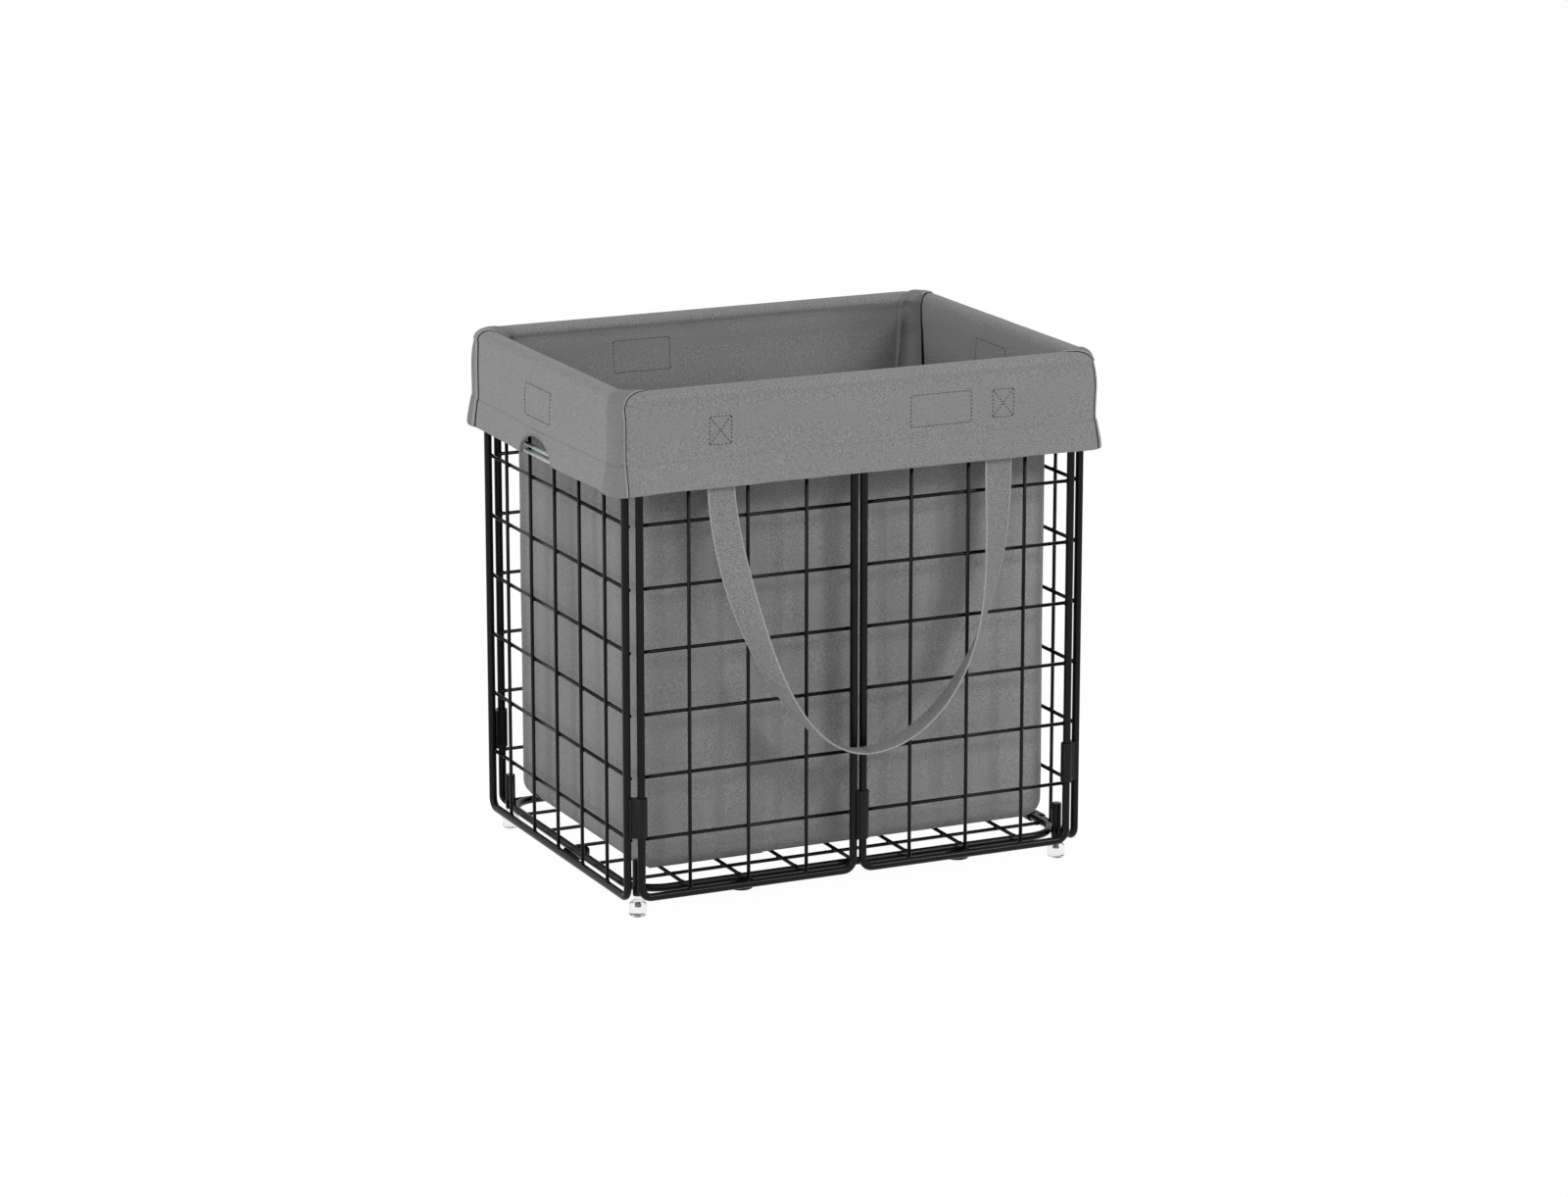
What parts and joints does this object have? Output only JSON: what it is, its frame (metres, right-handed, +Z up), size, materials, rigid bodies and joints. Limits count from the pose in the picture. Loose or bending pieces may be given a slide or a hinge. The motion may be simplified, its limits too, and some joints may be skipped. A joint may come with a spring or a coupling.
{
  "type": "laundry hamper",
  "caption": "Rectangular folding laundry hamper: a hinged black wire frame on a wire base, with a grey fabric liner turned down over the rim and webbing handles.",
  "frame": {"origin": "on the floor, under the middle of the frame", "axes": "+Z up, front face with its handle towards -Y, end panels at -X and +X"},
  "size_m": [0.5, 0.405, 0.5061],
  "materials": {
    "coated_wire": "satin black powder coat",
    "clip": "moulded black",
    "grip": "speckled light grey",
    "foot": "clear",
    "pad": "matt black",
    "liner": "grey coated weave",
    "binding": "grey tape",
    "strap": "grey webbing"
  },
  "bodies": {
    "right_end": {"right_end_panel": "coated_wire", "right_front_lower_clip": "clip", "right_front_upper_clip": "clip", "right_back_lower_clip": "clip", "right_back_upper_clip": "clip", "base_hinge_front_clip": "clip", "base_hinge_back_clip": "clip", "right_upper_grip_bar": "grip", "right_lower_grip_bar": "grip", "front_right_binding": "binding", "back_right_binding": "binding", "liner_bag": "liner", "liner_cuff": "liner"},
    "front_right": {"front_right_panel": "coated_wire"},
    "front_centre": {"front_centre_lower_clip": "clip", "front_centre_upper_clip": "clip", "front_strap": "strap"},
    "front_left": {"front_left_panel": "coated_wire"},
    "left_end": {"left_end_panel": "coated_wire", "left_front_lower_clip": "clip", "left_front_upper_clip": "clip", "left_back_lower_clip": "clip", "left_back_upper_clip": "clip", "left_upper_grip_bar": "grip", "left_lower_grip_bar": "grip", "front_left_binding": "binding", "back_left_binding": "binding"},
    "back_right": {"back_right_panel": "coated_wire"},
    "back_centre": {"back_centre_lower_clip": "clip", "back_centre_upper_clip": "clip", "back_strap": "strap"},
    "back_left": {"back_left_panel": "coated_wire"},
    "base": {"base_panel": "coated_wire", "front_left_socket": "coated_wire", "front_right_socket": "coated_wire", "back_right_socket": "coated_wire", "back_left_socket": "coated_wire", "front_left_foot": "foot", "front_right_foot": "foot", "back_right_foot": "foot", "back_left_foot": "foot", "left_pad": "pad", "right_pad": "pad", "front_left_pad": "pad", "front_right_pad": "pad", "back_right_pad": "pad", "back_left_pad": "pad"}
  },
  "joints": [
    {"name": "fold", "type": "hinge", "parent": "right_end", "child": "front_right", "pos_m": [0.2237, -0.1734, 0.25], "axis": [0, 0, 1], "range_deg": [0, 64], "deforming": ["liner_bag", "liner_cuff"]},
    {"name": "front_clip_right_post", "type": "hinge", "parent": "front_right", "child": "front_centre", "pos_m": [0.005, -0.1734, 0.25], "axis": [0, 0, -1], "range_deg": [0, 64], "deforming": ["front_strap"]},
    {"name": "front_clip_left_post", "type": "hinge", "parent": "front_centre", "child": "front_left", "pos_m": [-0.005, -0.1734, 0.25], "axis": [0, 0, -1], "range_deg": [0, 64]},
    {"name": "front_left_corner", "type": "hinge", "parent": "front_left", "child": "left_end", "pos_m": [-0.2237, -0.1734, 0.25], "axis": [0, 0, 1], "range_deg": [0, 64]},
    {"name": "back_right_corner", "type": "hinge", "parent": "right_end", "child": "back_right", "pos_m": [0.2237, 0.1734, 0.25], "axis": [0, 0, -1], "range_deg": [0, 64]},
    {"name": "back_clip_right_post", "type": "hinge", "parent": "back_right", "child": "back_centre", "pos_m": [0.005, 0.1734, 0.25], "axis": [0, 0, 1], "range_deg": [0, 64], "deforming": ["back_strap"]},
    {"name": "back_clip_left_post", "type": "hinge", "parent": "back_centre", "child": "back_left", "pos_m": [-0.005, 0.1734, 0.25], "axis": [0, 0, 1], "range_deg": [0, 64]},
    {"name": "base_lift", "type": "hinge", "parent": "right_end", "child": "base", "pos_m": [0.225, 0, 0.0255], "axis": [0, 1, 0], "range_deg": [0, 80]}
  ],
  "couplings": [
    {"joint": "front_clip_right_post", "follows": "fold", "ratio": 1},
    {"joint": "front_clip_left_post", "follows": "fold", "ratio": 1},
    {"joint": "front_left_corner", "follows": "fold", "ratio": 1},
    {"joint": "back_right_corner", "follows": "fold", "ratio": 1},
    {"joint": "back_clip_right_post", "follows": "fold", "ratio": 1},
    {"joint": "back_clip_left_post", "follows": "fold", "ratio": 1},
    {"joint": "base_lift", "follows": "fold", "ratio": 1.25}
  ]
}
